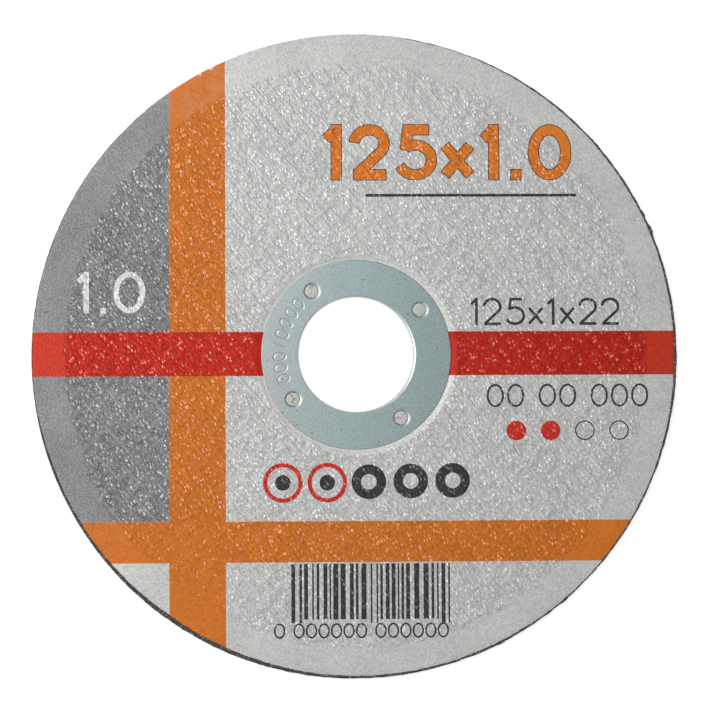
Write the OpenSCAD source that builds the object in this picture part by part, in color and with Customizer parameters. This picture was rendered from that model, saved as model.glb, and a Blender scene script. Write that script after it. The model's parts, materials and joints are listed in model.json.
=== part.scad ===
// Flat cut-off wheel for an angle grinder, lying on its back face with the label up.
// A resin-bonded abrasive disc is pressed in one with two glass-fibre meshes, a paper label
// and a pressed-steel centre ring. The origin is the centre of the bore on the back face,
// and +Z runs along the bore. Lengths are in millimetres, angles in degrees.

/* [Wheel] */
// Outside diameter
wheel_d = 125; // [115:1:230]
// Thickness from the back face to the top of the label's ridges
wheel_t = 1; // [0.8:0.05:3]
// Diameter of the arbor bore, inside the ring's collar
bore_d = 22.23; // [16:0.01:25.4]

/* [Centre ring] */
// Outside diameter of the flange
ring_d = 36.7; // [35:0.1:44]
// Thickness of the sheet steel
ring_t = 0.2; // [0.15:0.01:0.25]
// Inside radius of the bends at the collar and the claws
bend_r = 0.1; // [0.05:0.01:0.12]
// Radius of the flange's blanked outer edge
edge_r = 0.1; // [0.02:0.01:0.14]
// Depth of the flange below the label's face
ring_drop = 0.05; // [0:0.01:0.1]
// Height of the collar's free end above the back face
collar_lift = 0.05; // [0:0.01:0.15]

/* [Claws] */
// Number of claw holes punched through the flange
claw_n = 4; // [3:1:6]
// Diameter of the circle that the claw holes lie on
claw_pcd = 30; // [28:0.1:31.5]
// Direction of the first claw hole, from +X
claw_angle = 35; // [0:1:119]
// Clear diameter of a claw hole
claw_d = 2.6; // [1.5:0.1:3]
// Length of a claw below its bend
claw_h = 0.1; // [0.05:0.01:0.15]

/* [Label] */
// Width of the bare rim around the label
label_margin = 0.6; // [0.5:0.05:3]
// Thickness of the paper
label_t = 0.1; // [0.05:0.01:0.15]
// Offset of the label's cut edge along X
label_x = -0.25; // [-0.3:0.01:0.3]
// Offset of the label's cut edge along Y
label_y = 0.16; // [-0.3:0.01:0.3]
// Width of the slope that leads the label down to the ring
lip_w = 1.1; // [1:0.1:3]
// Height of the ridges that the warp strands press into the label
ridge_h = 0.03; // [0.01:0.01:0.06]

/* [Glass mesh] */
// Width of the band outside both meshes
mesh_margin = 6.2; // [5:0.1:15]
// Width of the bare ring between the collar and the back mesh
back_margin = 0.7; // [0.3:0.1:4]
// Distance between warp strands
warp_pitch = 2.5; // [2:0.1:5]
// Distance between weft strands
weft_pitch = 3; // [2:0.1:5]
// Width of a warp strand
warp_w = 0.9; // [0.4:0.05:1.5]
// Width of a weft strand
weft_w = 0.7; // [0.4:0.05:1.5]
// Direction of the warp strands, from +X
warp_angle = 132; // [0:1:179]
// Direction of the weft strands, from +X
weft_angle = 45; // [0:1:179]
// Thickness of one strand
strand_t = 0.08; // [0.05:0.01:0.1]
// Depth of the back mesh inside the back face
back_drop = 0.02; // [0:0.01:0.05]

/* [Fit] */
// Resin film between bonded pieces
bond_gap = 0.02; // [0.01:0.005:0.03]
// Gap between the flange's edge and the label's slope
lip_gap = 0.1; // [0.05:0.01:0.2]

/* [Hidden] */
$fa = 2;
$fs = 0.05;

wheel_r = wheel_d / 2;
label_r = wheel_r - label_margin;
mesh_r = wheel_r - mesh_margin;
bore_r = bore_d / 2;
ring_r = ring_d / 2;
claw_r = claw_d / 2;
bend_out = bend_r + ring_t;
collar_r = bore_r + ring_t;
seat_r = ring_r + lip_gap;
lip_r = seat_r + lip_w;

// Heights through the stack, from the label down to the back face
face_z = wheel_t - ridge_h;
label_low = face_z - label_t;
mesh_t = 2 * strand_t + bond_gap;
front_floor = label_low - mesh_t;
ring_top = face_z - ring_drop;
ring_low = ring_top - ring_t;
seat_top = ring_low - bond_gap;
seat_floor = seat_top - label_t;
claw_end = ring_low - bend_r - claw_h;
back_floor = back_drop + mesh_t;

// Clear hole in the label and the disc around the ring's collar and its bend
label_hole_r = collar_r + bend_r + bond_gap;
disc_hole_r = collar_r + bond_gap;
back_hole_r = disc_hole_r + back_margin;

module at_claws() {
  for (i = [0:claw_n - 1])
    rotate(claw_angle + i * 360 / claw_n)
      translate([claw_pcd / 2, 0, 0]) children();
}

// Ring-shaped cuts that the claws press into the label and the disc
module claw_cuts() {
  at_claws()
    translate([0, 0, claw_end - bond_gap])
      linear_extrude(ring_low - claw_end + bond_gap)
        difference() {
          circle(claw_r + bend_out + bond_gap);
          circle(claw_r - bond_gap);
        }
}

// Parallel strands in one direction, trimmed to the mesh's outline
module strands(pitch, width, angle, hole_r) {
  last = floor(mesh_r / pitch);
  intersection() {
    difference() {
      circle(mesh_r);
      circle(hole_r);
    }
    rotate(angle)
      for (i = [-last:last])
        translate([0, i * pitch]) square([2 * mesh_r, width], center = true);
  }
}

module warp(hole_r) {
  strands(warp_pitch, warp_w, warp_angle, hole_r);
}

module weft(hole_r) {
  strands(weft_pitch, weft_w, weft_angle, hole_r);
}

// Weft strands below, warp strands above, a resin film between the two layers
module glass_mesh(hole_r) {
  linear_extrude(strand_t) weft(hole_r);
  translate([0, 0, strand_t + bond_gap]) linear_extrude(strand_t) warp(hole_r);
}

// Sheet steel drawn down around a hole: a quarter bend, then a straight wall
module drawn_wall(hole_r, end_z) {
  bend_z = ring_top - bend_out;
  rotate_extrude() {
    translate([hole_r, end_z]) square([ring_t, bend_z - end_z]);
    translate([hole_r + bend_out, bend_z])
      intersection() {
        difference() {
          circle(bend_out);
          circle(bend_r);
        }
        translate([-bend_out, 0]) square(bend_out);
      }
  }
}

// Flat flange of the ring, with its outer edge rounded by the blanking die
module flange() {
  rotate_extrude()
    translate([bore_r + bend_out, ring_low]) {
      flange_w = ring_r - bore_r - bend_out;
      square([flange_w - edge_r, ring_t]);
      square([flange_w, ring_t - edge_r]);
      translate([flange_w - edge_r, ring_t - edge_r])
        intersection() {
          circle(edge_r);
          square(edge_r);
        }
    }
}

module abrasive_disc() {
  color([0.24, 0.24, 0.25])
    difference() {
      rotate_extrude()
        polygon([
          [disc_hole_r, 0],
          [back_hole_r - bond_gap, 0],
          [back_hole_r - bond_gap, back_floor],
          [mesh_r + bond_gap, back_floor],
          [mesh_r + bond_gap, 0],
          [wheel_r, 0],
          [wheel_r, label_low],
          [mesh_r + bond_gap, label_low],
          [mesh_r + bond_gap, front_floor],
          [lip_r, front_floor],
          [lip_r, label_low],
          [seat_r, seat_floor],
          [disc_hole_r, seat_floor]
        ]);
      claw_cuts();
    }
}

module front_mesh() {
  color([0.8, 0.78, 0.68])
    translate([0, 0, front_floor]) glass_mesh(lip_r + bond_gap);
}

module back_mesh() {
  color([0.72, 0.7, 0.6])
    translate([0, 0, back_floor]) mirror([0, 0, 1]) glass_mesh(back_hole_r);
}

module label() {
  color([0.76, 0.76, 0.75]) {
    difference() {
      intersection() {
        rotate_extrude()
          polygon([
            [label_hole_r, seat_floor],
            [seat_r, seat_floor],
            [lip_r, label_low],
            [wheel_r, label_low],
            [wheel_r, face_z],
            [lip_r, face_z],
            [seat_r, seat_top],
            [label_hole_r, seat_top]
          ]);
        translate([label_x, label_y, 0]) cylinder(r = label_r, h = wheel_t);
      }
      claw_cuts();
    }
    // Ridges over the warp strands, rooted half-way down the paper
    translate([0, 0, face_z - label_t / 2])
      linear_extrude(label_t / 2 + ridge_h) warp(lip_r + bond_gap);
  }
}

module centre_ring() {
  color([0.62, 0.69, 0.69]) {
    difference() {
      flange();
      at_claws() cylinder(r = claw_r + bend_out, h = wheel_t);
    }
    drawn_wall(bore_r, collar_lift);
    at_claws() drawn_wall(claw_r, claw_end);
  }
}

abrasive_disc();
front_mesh();
back_mesh();
label();
centre_ring();
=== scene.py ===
# Cut-off wheel lying flat with its label up, dressed for the render.
import json
import math

import bpy
import numpy as np
from mathutils import Matrix, Vector
from mathutils.bvhtree import BVHTree


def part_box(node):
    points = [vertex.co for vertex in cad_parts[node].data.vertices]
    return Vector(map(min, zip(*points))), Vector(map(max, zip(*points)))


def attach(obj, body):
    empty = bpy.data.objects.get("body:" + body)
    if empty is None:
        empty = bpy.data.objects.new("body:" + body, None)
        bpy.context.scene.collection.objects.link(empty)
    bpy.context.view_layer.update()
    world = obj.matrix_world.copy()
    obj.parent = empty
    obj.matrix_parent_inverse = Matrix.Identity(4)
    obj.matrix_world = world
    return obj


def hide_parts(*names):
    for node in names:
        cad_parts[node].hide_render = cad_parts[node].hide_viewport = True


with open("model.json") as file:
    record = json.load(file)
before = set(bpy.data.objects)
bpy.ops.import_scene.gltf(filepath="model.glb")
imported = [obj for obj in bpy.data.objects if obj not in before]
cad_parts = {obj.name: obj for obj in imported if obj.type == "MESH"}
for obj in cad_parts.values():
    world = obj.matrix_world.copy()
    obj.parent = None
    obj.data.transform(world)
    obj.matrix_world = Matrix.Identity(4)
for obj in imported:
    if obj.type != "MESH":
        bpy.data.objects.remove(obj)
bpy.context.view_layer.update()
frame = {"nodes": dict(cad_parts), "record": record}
mm = 0.001
print("frame loaded:", ", ".join(sorted(frame["nodes"])))


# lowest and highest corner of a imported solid, in millimetres
def boxInMm(nodeName):
    low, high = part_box(nodeName)
    return np.array(low) / mm, np.array(high) / mm


discHigh = boxInMm("abrasive_disc")[1]
labelLow, labelHigh = boxInMm("label")
ringRadius = boxInMm("centre_ring")[1][0]
boreMount = next(m for m in frame["record"]["mounts"] if m["name"] == "arbor_bore")

# sizes in millimetres
wheel = {
    "radius": discHigh[0],
    "boreRadius": boreMount["dims"]["r_mm"],
    "labelRadius": (labelHigh[0] - labelLow[0]) / 2,
    "labelTop": labelHigh[2],
    "labelUnder": discHigh[2],
    "seatLow": labelLow[2],
    "seatTop": labelLow[2] + 0.1,  # the thickness of the paper above
    "ringRadius": ringRadius,
    "meshRadius": boxInMm("front_mesh")[1][0],
    "seatRadius": ringRadius + 0.1,
    "lipRadius": ringRadius + 1.2,
    "discHole": 11.335,
    "backHole": 12.035,
}

# the glass mesh, which shows through the label and lies bare on the back
weave = {
    "warpPitch": 2.5,
    "weftPitch": 3.0,
    "warpAngle": math.radians(132),
    "weftAngle": math.radians(45),
    "warpWidth": 0.9,
    "weftWidth": 0.7,
}

tableSize = 256  # cells before a noise repeats


def cellOf(x, y, cell):
    return np.floor(x / cell).astype(int), np.floor(y / cell).astype(int)


# smooth seeded noise, about -1 to 1
def softNoise(x, y, cell, seed):
    table = np.random.default_rng(seed).uniform(-1, 1, (tableSize, tableSize))
    column, row = cellOf(x, y, cell)
    fx, fy = x / cell - column, y / cell - row
    fx = fx * fx * (3 - 2 * fx)
    fy = fy * fy * (3 - 2 * fy)
    left, right = column % tableSize, (column + 1) % tableSize
    low, high = row % tableSize, (row + 1) % tableSize
    bottom = table[left, low] * (1 - fx) + table[right, low] * fx
    top = table[left, high] * (1 - fx) + table[right, high] * fx
    return bottom * (1 - fy) + top * fy


# scattered round grains, one to a cell, heights 0 to 1
def grainBumps(x, y, cell, radius, seed):
    rng = np.random.default_rng(seed)
    shiftX, shiftY = rng.uniform(0.1, 0.9, (2, tableSize, tableSize))
    tall = rng.uniform(0.15, 1.0, (tableSize, tableSize)) ** 1.5
    wide = radius * rng.uniform(0.7, 1.3, (tableSize, tableSize))
    column, row = cellOf(x, y, cell)
    total = np.zeros_like(x)
    for di in (-1, 0, 1):
        for dj in (-1, 0, 1):
            i, j = (column + di) % tableSize, (row + dj) % tableSize
            dx = x - (column + di + shiftX[i, j]) * cell
            dy = y - (row + dj + shiftY[i, j]) * cell
            bump = tall[i, j] * np.exp(-(dx * dx + dy * dy) / wide[i, j] ** 2)
            total = np.maximum(total, bump)
    return total


# 0 below low, 1 above high, smooth between
def ramp(value, low, high):
    t = np.clip((value - low) / (high - low), 0, 1)
    return t * t * (3 - 2 * t)


# distance across a set of strands from the one through the middle
def strandAcross(x, y, angle):
    return y * math.cos(angle) - x * math.sin(angle)


def turnsRound(count):
    return np.arange(count) * 2 * math.pi / count


# one loop of points round a centre; radius and height may be lists
def loopPoints(count, radius, height, centre=(0, 0)):
    turn = turnsRound(count)
    loop = np.empty((count, 3))
    loop[:, 0] = centre[0] + radius * np.cos(turn)
    loop[:, 1] = centre[1] + radius * np.sin(turn)
    loop[:, 2] = height
    return loop


def segmentCount(radius, pitch):
    return max(24, round(2 * math.pi * radius / pitch))


# triangles between two loops that may have different counts
def zipLoops(startA, countA, startB, countB):
    faces = []
    i = j = 0
    while i < countA or j < countB:
        takeA = j >= countB or (i < countA and (i + 1) * countB <= (j + 1) * countA)
        if takeA:
            faces.append((startA + i % countA, startA + (i + 1) % countA, startB + j % countB))
            i += 1
        else:
            faces.append((startB + (j + 1) % countB, startB + j % countB, startA + i % countA))
            j += 1
    return faces


# triangles through loops of one count that follow each other
def stackLoops(start, count, loops):
    faces = []
    for k in range(loops - 1):
        faces += zipLoops(start + k * count, count, start + (k + 1) * count, count)
    return faces


# one flat face over a loop
def capFace(start, count, flipped=False):
    corners = range(start, start + count)
    return tuple(reversed(corners)) if flipped else tuple(corners)


# closed solid from loops that run once round its section
def loopSolid(loops):
    starts = np.cumsum([0] + [len(loop) for loop in loops])
    faces = []
    for k, loop in enumerate(loops):
        following = (k + 1) % len(loops)
        faces += zipLoops(starts[k], len(loop), starts[following], len(loops[following]))
    return np.vstack(loops), faces


def addObject(name, data):
    made = bpy.data.objects.new(name, data)
    bpy.context.scene.collection.objects.link(made)
    return made


def newMesh(name, points, faces, material):
    mesh = bpy.data.meshes.new(name)
    corners = [tuple(p) for p in np.asarray(points) * mm]
    mesh.from_pydata(corners, [], [tuple(map(int, f)) for f in faces])
    mesh.materials.append(material)
    return mesh


def addPiece(name, points, faces, material, sharpAngle=40):
    mesh = newMesh(name, points, faces, material)
    mesh.validate()
    mesh.shade_smooth()
    mesh.set_sharp_from_angle(angle=math.radians(sharpAngle))
    piece = addObject(name, mesh)
    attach(piece, "root")
    triangles = sum(len(p.vertices) - 2 for p in mesh.polygons)
    print(f"{name}: {len(mesh.vertices)} points, {triangles} triangles")
    return piece


# sRGB 0 to 255, as a picture shows it, to the renderer's linear colour
def paint(red, green, blue):
    def linear(value):
        value = value / 255
        return value / 12.92 if value <= 0.04045 else ((value + 0.055) / 1.055) ** 2.4

    return (linear(red), linear(green), linear(blue), 1.0)


# shader nodes: an input is a value or another node's output
def addNode(tree, kind, inputs=None, **settings):
    made = tree.nodes.new(kind)
    for name, value in settings.items():
        setattr(made, name, value)
    for name, value in (inputs or {}).items():
        if isinstance(value, bpy.types.NodeSocket):
            tree.links.new(value, made.inputs[name])
        else:
            made.inputs[name].default_value = value
    return made


def calc(tree, operation, *values):
    return addNode(tree, "ShaderNodeMath", dict(enumerate(values)), operation=operation).outputs[0]


def times(tree, value, *others):
    for other in others:
        value = calc(tree, "MULTIPLY", value, other)
    return value


# value * factor + rest
def timesPlus(tree, value, factor, rest):
    return calc(tree, "MULTIPLY_ADD", value, factor, rest)


def oneMinus(tree, value):
    return calc(tree, "SUBTRACT", 1.0, value)


def hypotenuse(tree, a, b):
    return calc(tree, "SQRT", timesPlus(tree, a, a, times(tree, b, b)))


def vectorCalc(tree, operation, *values):
    return addNode(tree, "ShaderNodeVectorMath", dict(enumerate(values)), operation=operation).outputs


def scaled(tree, vector, factor):
    inputs = {0: vector, "Scale": factor}
    return addNode(tree, "ShaderNodeVectorMath", inputs, operation="SCALE").outputs[0]


def lengthOf(tree, vector):
    return vectorCalc(tree, "LENGTH", vector)["Value"]


def distanceTo(tree, place, spot):
    return vectorCalc(tree, "DISTANCE", place, spot)["Value"]


# the place with its height taken out
def flatPlace(tree, place):
    return vectorCalc(tree, "MULTIPLY", place, (1.0, 1.0, 0.0))[0]


def dotWith(tree, vector, direction):
    return vectorCalc(tree, "DOT_PRODUCT", vector, (direction[0], direction[1], 0.0))["Value"]


# the place turned to an angle and stretched, for textures that run one way
def stretched(tree, place, angle, alongScale, acrossScale):
    along = dotWith(tree, place, (alongScale * math.cos(angle), alongScale * math.sin(angle)))
    across = dotWith(tree, place, (-acrossScale * math.sin(angle), acrossScale * math.cos(angle)))
    return addNode(tree, "ShaderNodeCombineXYZ", {"X": along, "Y": across}).outputs[0]


def mapRange(tree, value, toMin, toMax, fromMin=0.0, fromMax=1.0):
    inputs = {"Value": value, "From Min": fromMin, "From Max": fromMax, "To Min": toMin, "To Max": toMax}
    return addNode(tree, "ShaderNodeMapRange", inputs).outputs[0]


def smoothStep(tree, value, low, high):
    inputs = {"Value": value, "From Min": low, "From Max": high}
    return addNode(tree, "ShaderNodeMapRange", inputs, interpolation_type="SMOOTHSTEP").outputs[0]


def noiseAt(tree, vector, scale, detail=2.0):
    inputs = {"Vector": vector, "Scale": scale, "Detail": detail}
    return addNode(tree, "ShaderNodeTexNoise", inputs, noise_dimensions="2D").outputs[0]


# cells of a crackle: distance from the cell's middle, and a random number for each cell
def cellsAt(tree, vector, scale, dimensions="2D"):
    inputs = {"Vector": vector, "Scale": scale}
    cells = addNode(tree, "ShaderNodeTexVoronoi", inputs, voronoi_dimensions=dimensions).outputs
    return cells["Distance"], addNode(tree, "ShaderNodeSeparateColor", {0: cells["Color"]}).outputs[0]


def mixColour(tree, factor, first, second):
    inputs = {0: factor, 6: first, 7: second}
    return addNode(tree, "ShaderNodeMix", inputs, data_type="RGBA").outputs[2]


# a group's sockets as name, kind and, for inputs, first value
def newGroup(name, inputs, outputs):
    tree = bpy.data.node_groups.new(name, "ShaderNodeTree")
    for socketName, kind, value in inputs:
        socket = tree.interface.new_socket(name=socketName, in_out="INPUT", socket_type="NodeSocket" + kind)
        if value is not None:
            socket.default_value = value
    for socketName, kind in outputs:
        tree.interface.new_socket(name=socketName, in_out="OUTPUT", socket_type="NodeSocket" + kind)
    return tree, tree.nodes.new("NodeGroupInput").outputs, tree.nodes.new("NodeGroupOutput").inputs


def placeGroup(tree, group, inputs):
    return addNode(tree, "ShaderNodeGroup", inputs, node_tree=group).outputs


# object coordinates in millimetres, so that every scale below is a real size
def millimetres(tree):
    return scaled(tree, addNode(tree, "ShaderNodeTexCoord").outputs["Object"], 1 / mm)


def newMaterial(name):
    material = bpy.data.materials.new(name)
    material.use_nodes = True
    tree = material.node_tree
    shader = tree.nodes["Principled BSDF"]
    return material, tree, shader


def addBump(tree, shader, height):
    bump = addNode(tree, "ShaderNodeBump", {"Height": height, "Strength": 1.0, "Distance": mm})
    tree.links.new(bump.outputs["Normal"], shader.inputs["Normal"])


# how the mesh and the grain are pressed into the paper, heights in millimetres
pressing = {
    "strand": 0.068,
    "grain": 0.094,
    "fine": 0.054,
    "swell": 0.3,
    "groove": 0.09,  # beside a strand, as a share of its height
    "weftShare": 0.3,
    "grainAngle": math.radians(112),
    "tone": 1.02,  # brightness of the paper, then painted highlights on grain tops, strand ridges and grit, and painted shade in the valleys
    "grainLift": 0.4,
    "ridgeLift": 0.22,
    "gritLift": 0.36,
    "valley": 0.19,
    # places pressed harder or more lightly: x, y, reach, change to the strands, change to the fine grain
    "presses": [(-48, 14, 36, 0.0, 0.8), (8, 50, 17, -0.35, -0.35), (4, 27, 11, -0.3, -0.3),
                (-33, -44, 18, -0.45, -0.3)],
}


def makePressedRelief():
    tree, given, put = newGroup(
        "pressedRelief",
        [("Place", "Vector", None), ("Strand", "Float", pressing["strand"]),
         ("Grain", "Float", pressing["grain"]), ("Fine", "Float", pressing["fine"])],
        [("Height", "Float"), ("Peaks", "Float"), ("Crests", "Float"), ("Tone", "Float")],
    )
    place = given["Place"]
    radius = lengthOf(tree, place)
    wobble = timesPlus(tree, noiseAt(tree, place, 0.5), 2.4, -1.2)
    edge = calc(tree, "ADD", radius, wobble)
    inside = smoothStep(tree, edge, wheel["meshRadius"] + 0.4, wheel["meshRadius"] - 0.6)
    innerEdge = timesPlus(tree, wobble, 0.25, radius)
    outside = smoothStep(tree, innerEdge, wheel["seatRadius"] + 0.2, wheel["lipRadius"] + 0.3)
    zone = times(tree, inside, outside)

    pressed, finely = 1.0, 1.0
    for x, y, reach, coarse, fine in pressing["presses"]:
        away = distanceTo(tree, place, (x, y, wheel["labelTop"]))
        near = smoothStep(tree, away, reach, 0.3 * reach)
        pressed = timesPlus(tree, near, coarse, pressed)
        finely = timesPlus(tree, near, fine, finely)

    def awayFrom(angle, pitch):
        across = dotWith(tree, place, (-math.sin(angle), math.cos(angle)))
        bend = timesPlus(tree, noiseAt(tree, place, 0.2), 0.7, -0.35)
        return calc(tree, "PINGPONG", calc(tree, "ADD", across, bend), pitch / 2)

    def strandLine(away, halfWidth):
        flat = smoothStep(tree, away, halfWidth + 0.05, halfWidth - 0.15)
        beside = calc(tree, "ABSOLUTE", calc(tree, "SUBTRACT", away, halfWidth + 0.1))
        return timesPlus(tree, smoothStep(tree, beside, 0.25, 0.0), -pressing["groove"], flat)

    warpAway = awayFrom(weave["warpAngle"], weave["warpPitch"])
    weftAway = awayFrom(weave["weftAngle"], weave["weftPitch"])
    pairAway = awayFrom(weave["warpAngle"], 2 * weave["warpPitch"])
    warpLine = strandLine(warpAway, weave["warpWidth"] / 2)
    weftLine = times(tree, strandLine(weftAway, weave["weftWidth"] / 2), pressing["weftShare"])
    fade = timesPlus(tree, noiseAt(tree, place, 0.3), 1.6, 0.2)
    strands = times(tree, calc(tree, "ADD", warpLine, weftLine), fade, zone, pressed)

    # openings of the mesh, where the grain shows
    opening = times(tree, smoothStep(tree, warpAway, 0.3, 0.65), smoothStep(tree, weftAway, 0.1, 0.5))
    opening = times(tree, timesPlus(tree, opening, 0.7, 0.3), times(tree, zone, pressed))
    uneven = smoothStep(tree, noiseAt(tree, place, 0.45), 0.25, 0.7)
    opening = times(tree, opening, timesPlus(tree, uneven, 0.5, 0.7))
    away, pick = cellsAt(tree, stretched(tree, place, pressing["grainAngle"], 1.0, 1.85), 1.0)
    dome = smoothStep(tree, away, 0.62, 0.0)
    grain = times(tree, dome, timesPlus(tree, pick, 0.85, 0.15), opening)
    away, pick = cellsAt(tree, place, 2.2)
    grit = times(tree, smoothStep(tree, away, 0.4, 0.12), smoothStep(tree, pick, 0.4, 0.9))
    grit = times(tree, grit, opening, finely)

    # light lines along pairs of strands, painted in as highlight below
    warpAngle = weave["warpAngle"]
    ridge = smoothStep(tree, noiseAt(tree, stretched(tree, place, warpAngle, 0.16, 0.5), 1.0), 0.4, 0.62)
    ridge = times(tree, smoothStep(tree, pairAway, 0.22, 0.06), ridge, zone)
    hairs = noiseAt(tree, stretched(tree, place, warpAngle, 0.6, 3.2), 1.0, 1.0)
    hairs = times(tree, smoothStep(tree, hairs, 0.5, 0.75), zone)
    fine = times(tree, calc(tree, "ADD", noiseAt(tree, place, 2.6), hairs), given["Fine"], finely)
    swell = calc(tree, "SUBTRACT", noiseAt(tree, place, 0.45), 0.5)
    swell = times(tree, swell, zone, pressing["swell"])

    height = timesPlus(tree, strands, given["Strand"], calc(tree, "ADD", fine, swell))
    tree.links.new(timesPlus(tree, grain, given["Grain"], height), put["Height"])
    tree.links.new(smoothStep(tree, grain, 0.1, 0.5), put["Peaks"])
    tree.links.new(smoothStep(tree, grain, 0.45, 0.95), put["Crests"])
    # painted light and shade in the colour: shade in the valleys round the grains, highlights on grain tops,
    # strand ridges and grit
    valley = calc(tree, "SUBTRACT", opening, smoothStep(tree, grain, 0.0, 0.35))
    valley = times(tree, valley, pressing["valley"])
    lift = timesPlus(tree, smoothStep(tree, grain, 0.25, 0.75), pressing["grainLift"], pressing["tone"])
    lift = timesPlus(tree, ridge, pressing["ridgeLift"], lift)
    lift = timesPlus(tree, grit, pressing["gritLift"], lift)
    tree.links.new(calc(tree, "SUBTRACT", lift, valley), put["Tone"])
    return tree


# patchy lightening and darkening of a colour
def makeMottle():
    tree, given, put = newGroup(
        "mottle",
        [("Place", "Vector", None), ("Colour", "Color", None), ("Scale", "Float", 1.0),
         ("Amount", "Float", 0.1)],
        [("Colour", "Color")],
    )
    inputs = {"Vector": given["Place"], "Scale": given["Scale"], "Detail": 3.0}
    patch = addNode(tree, "ShaderNodeTexNoise", inputs).outputs[0]
    swing = times(tree, calc(tree, "SUBTRACT", patch, 0.5), given["Amount"])
    level = timesPlus(tree, swing, 2.0, 1.0)
    tree.links.new(scaled(tree, given["Colour"], level), put["Colour"])
    return tree


pressedRelief = makePressedRelief()
mottle = makeMottle()
print("shared node groups made")


def mottled(tree, place, colour, scale, amount):
    inputs = {"Place": place, "Colour": colour, "Scale": scale, "Amount": amount}
    return placeGroup(tree, mottle, inputs)["Colour"]


# camera, fitted to the photograph, in millimetres
cameraView = {
    "place": (-16.0, -26.0, 449.0),
    "aim": (-0.035, -0.204, 0.9),
    "lens": 117.573,
    "sensor": 36.0,
    "roll": math.radians(0.32),
    "nearest": 0.01,  # metres
    "farthest": 20,
}


def makeCamera():
    data = bpy.data.cameras.new("photoCamera")
    data.lens = cameraView["lens"]
    data.sensor_width = cameraView["sensor"]
    data.clip_start, data.clip_end = cameraView["nearest"], cameraView["farthest"]
    camera = addObject("photoCamera", data)
    place = Vector(cameraView["place"]) * mm
    back = (place - Vector(cameraView["aim"]) * mm).normalized()
    upHint = Vector((math.sin(cameraView["roll"]), math.cos(cameraView["roll"]), 0))
    right = upHint.cross(back).normalized()
    up = back.cross(right)
    camera.matrix_world = Matrix.Translation(place) @ Matrix((right, up, back)).transposed().to_4x4()
    bpy.context.scene.camera = camera


# pale floor, soft key light from the left, even light from all round
stage = {
    "floorColour": (0.32, 0.32, 0.32, 1.0),
    "floorGlow": 0.79,
    "floorSize": 4000,
    "floorMiddle": 200,
    "floorDrop": 0.05,
    "opening": 61.0,  # under the wheel the floor is open, so that light reaches the back
    "segments": 96,
    "ambient": 0.38,
    "keyPlace": (-0.19, 0.08, 0.36),  # metres
    "keySize": 0.22,
    "keyPower": 1.34,
}


# rays that meet a white surrounding: the camera's, and those by way of gloss or glass
def seenRays(tree):
    path = addNode(tree, "ShaderNodeLightPath").outputs
    seen = calc(tree, "MAXIMUM", path["Is Camera Ray"], path["Is Glossy Ray"])
    return calc(tree, "MAXIMUM", seen, path["Is Transmission Ray"])


def makeFloor():
    material, tree, shader = newMaterial("paleFloor")
    tree.nodes.remove(shader)
    diffuse = addNode(tree, "ShaderNodeBsdfDiffuse", {"Color": stage["floorColour"]}).outputs[0]
    strength = times(tree, seenRays(tree), stage["floorGlow"])
    glow = addNode(tree, "ShaderNodeEmission", {"Strength": strength}).outputs[0]
    lit = addNode(tree, "ShaderNodeAddShader", {0: diffuse, 1: glow}).outputs[0]
    clear = addNode(tree, "ShaderNodeBsdfTransparent").outputs[0]
    under = addNode(tree, "ShaderNodeNewGeometry").outputs["Backfacing"]
    sided = addNode(tree, "ShaderNodeMixShader", {0: under, 1: lit, 2: clear}).outputs[0]
    tree.links.new(sided, tree.nodes["Material Output"].inputs["Surface"])
    count = stage["segments"]
    radii = (stage["floorSize"], stage["floorMiddle"], stage["opening"])
    points = np.vstack([loopPoints(count, radius, -stage["floorDrop"]) for radius in radii])
    floor = addObject("floor", newMesh("floor", points, stackLoops(0, count, len(radii)), material))


def makeLight():
    world = bpy.data.worlds.new("studio")
    world.use_nodes = True
    tree = world.node_tree
    background = tree.nodes["Background"]
    background.inputs["Color"].default_value = (1, 1, 1, 1)
    strength = mapRange(tree, seenRays(tree), stage["ambient"], 1.0)
    tree.links.new(strength, background.inputs["Strength"])
    bpy.context.scene.world = world
    lamp = bpy.data.lights.new("keyLight", "AREA")
    lamp.shape = "DISK"
    lamp.size = stage["keySize"]
    lamp.energy = stage["keyPower"]
    key = addObject("keyLight", lamp)
    key.location = stage["keyPlace"]
    key.rotation_euler = (-key.location).to_track_quat("-Z", "Y").to_euler()


bpy.context.scene.view_settings.view_transform = "Standard"
makeCamera()
makeFloor()
makeLight()
print("camera, floor and light made")

# abrasive disc, cast a little off centre, with a ragged rim
disc = {
    "radius": 62.34,
    "offset": 0.166,
    "offsetAngle": 135.8,
    "oval": 0.068,
    "ovalAngle": 28.4,
    "ragged": 0.11,
    "rimClear": 0.03,  # kept clear of the wheel's full radius, apart from the burrs
    # burrs of resin, direction, height and half width
    "burrs": [(26.0, 0.2, 0.7), (22.9, 0.27, 0.9), (-50.0, 0.14, 0.6), (-63.7, 0.14, 0.7)],
    "rimPitch": 0.26,
    "wallHeights": (0.8, 0.68, 0.56, 0.44, 0.32, 0.2, 0.1),
    "footInset": 0.12,
    "footHeight": 0.03,
    "topHeight": 0.9,
    "topInsets": (0.06, 0.2, 0.35, 0.5, 0.65, 0.8, 1.1),
    "topRows": [(400, 58), (240, 40)],  # count and radius, under the label
    "topFilm": 0.005,
    "topSwell": 0.03,
    "topGrit": 0.05,
    "backEdge": 61.8,
    "backPitch": 0.46,
    "backFloor": 0.075,
    "backGrit": 0.035,
    "holeSegments": 180,
    "holeFoot": 0.1,
    "dark": paint(43, 39, 39),
    "grain": paint(138, 126, 117),
    "grainScale": 3.2,
    "grainDepth": 0.06,
    "resinRough": 0.75,
    "grainRough": 0.35,
}


def turnAway(turn, angle):
    return np.angle(np.exp(1j * (turn - math.radians(angle))))


def rimMiddle(turn):
    moved = disc["offset"] * np.cos(turnAway(turn, disc["offsetAngle"]))
    return disc["radius"] + moved + disc["oval"] * np.cos(2 * turnAway(turn, disc["ovalAngle"]))


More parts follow.
